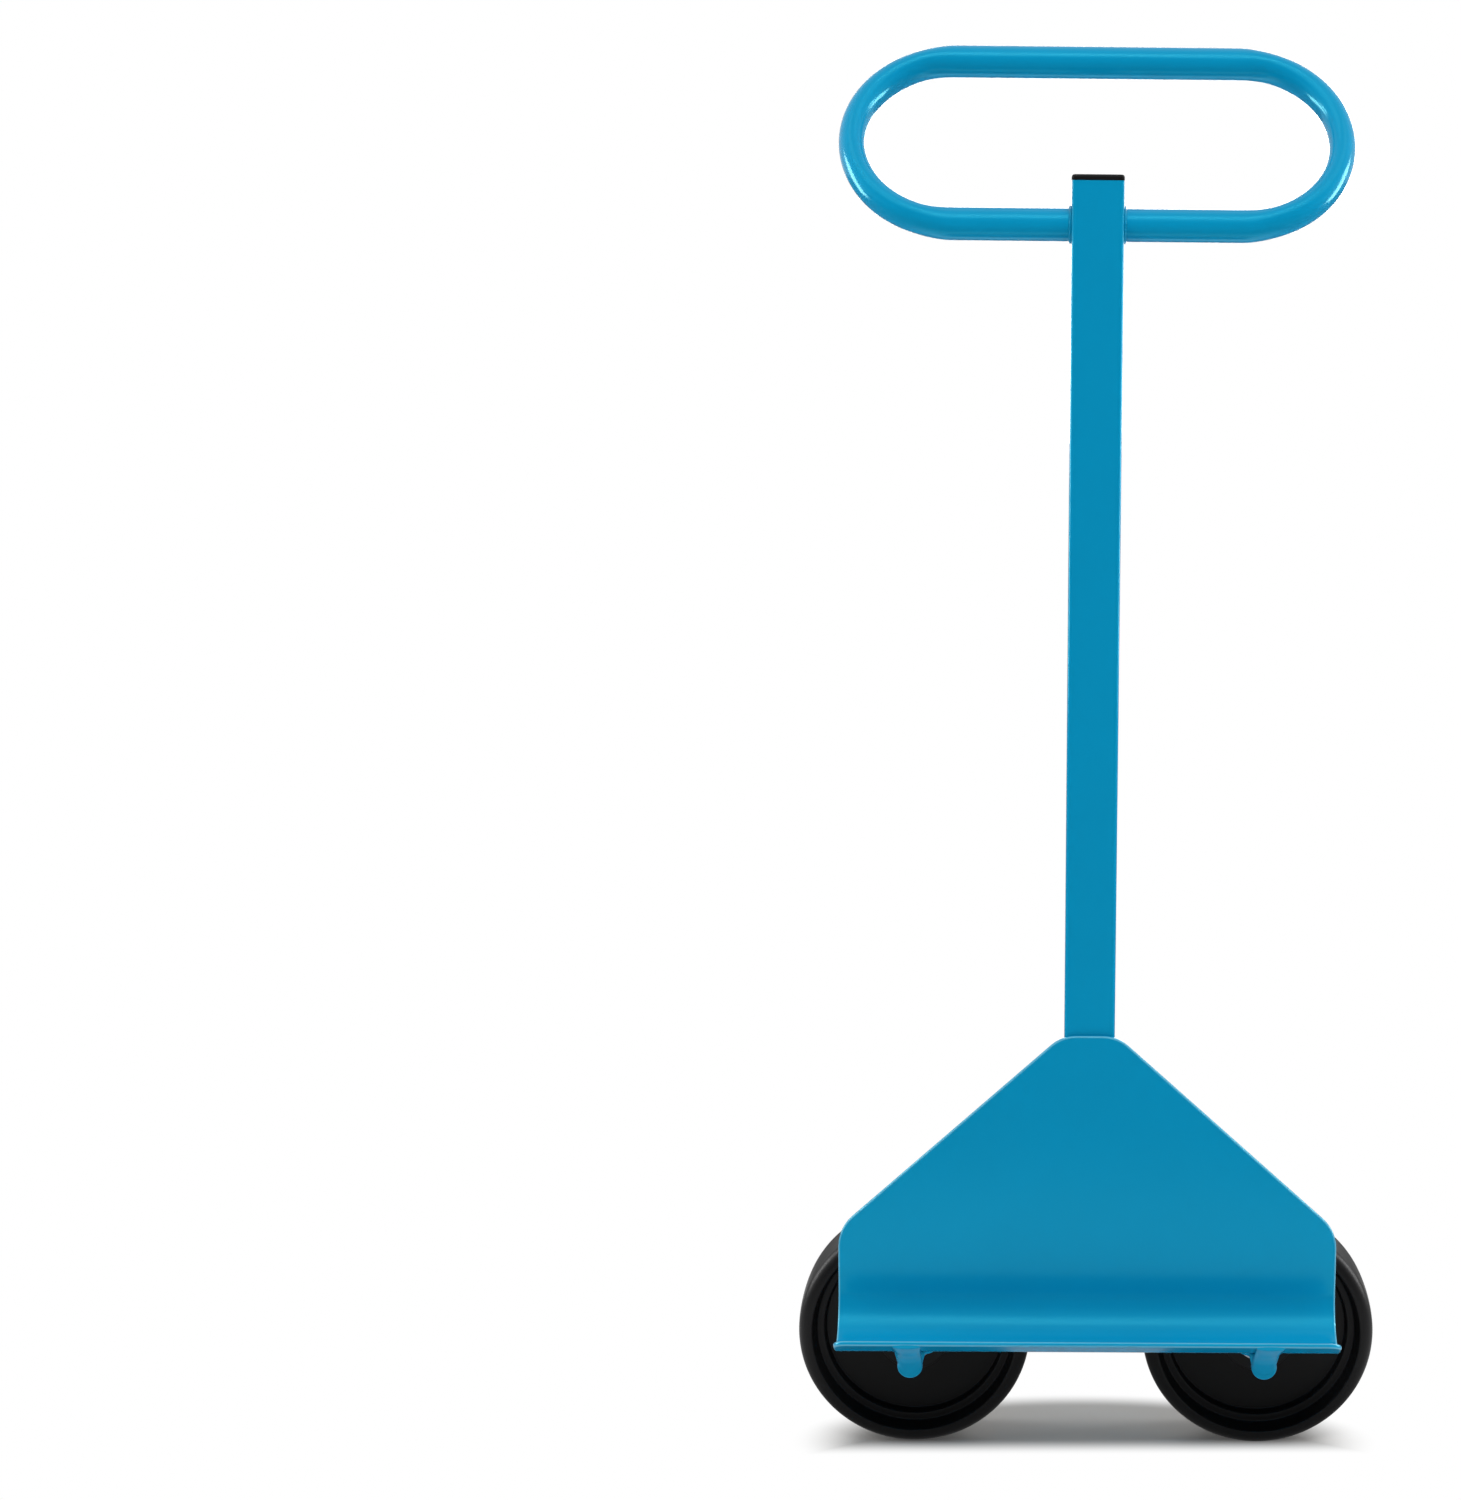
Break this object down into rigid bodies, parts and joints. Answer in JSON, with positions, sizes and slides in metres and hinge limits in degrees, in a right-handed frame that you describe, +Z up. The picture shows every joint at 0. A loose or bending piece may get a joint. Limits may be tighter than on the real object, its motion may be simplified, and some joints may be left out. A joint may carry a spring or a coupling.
{
  "type": "panel cart",
  "caption": "Hand cart for large panels: square post with a loop handle, folded steel plate with a gutter for the panel's edge, and dished plastic wheels on welded bars.",
  "frame": {"origin": "on the floor, under the middle of the cart's box", "axes": "+Z up along the post, -Y to the front where the panel stands, +X to the right as seen from the front; the wheel axes lie along Y"},
  "size_m": [0.471, 0.2042, 1.1253],
  "materials": {
    "frame_paint": "semi-gloss blue powder coat on steel",
    "wheel_plastic": "black moulded plastic, satin",
    "cap_plastic": "black moulded plastic, fine grain",
    "zinc_plate": "bright zinc plated steel",
    "cage_plastic": "natural moulded plastic",
    "bearing_steel": "ground steel"
  },
  "bodies": {
    "frame": {"post_tube": "frame_paint", "post_end_cap": "cap_plastic", "handle_loop": "frame_paint", "carrier_plate": "frame_paint", "left_handle_weld": "frame_paint", "right_handle_weld": "frame_paint", "left_post_weld": "frame_paint", "right_post_weld": "frame_paint", "left_axle": "frame_paint", "right_axle": "frame_paint", "left_axle_weld": "frame_paint", "right_axle_weld": "frame_paint", "left_inner_washer": "zinc_plate", "right_inner_washer": "zinc_plate", "left_outer_washer": "zinc_plate", "right_outer_washer": "zinc_plate", "left_split_pin": "zinc_plate", "right_split_pin": "zinc_plate"},
    "left_wheel_body": {"left_wheel": "wheel_plastic", "left_roller_cage": "cage_plastic", "left_rollers": "bearing_steel"},
    "right_wheel_body": {"right_wheel": "wheel_plastic", "right_roller_cage": "cage_plastic", "right_rollers": "bearing_steel"}
  },
  "joints": [
    {"name": "left_wheel_spin", "type": "hinge", "parent": "frame", "child": "left_wheel_body", "pos_m": [-0.1405, 0.01945, 0.095], "axis": [0, 1, 0], "continuous": true},
    {"name": "right_wheel_spin", "type": "hinge", "parent": "frame", "child": "right_wheel_body", "pos_m": [0.1405, 0.01945, 0.095], "axis": [0, 1, 0], "continuous": true}
  ]
}
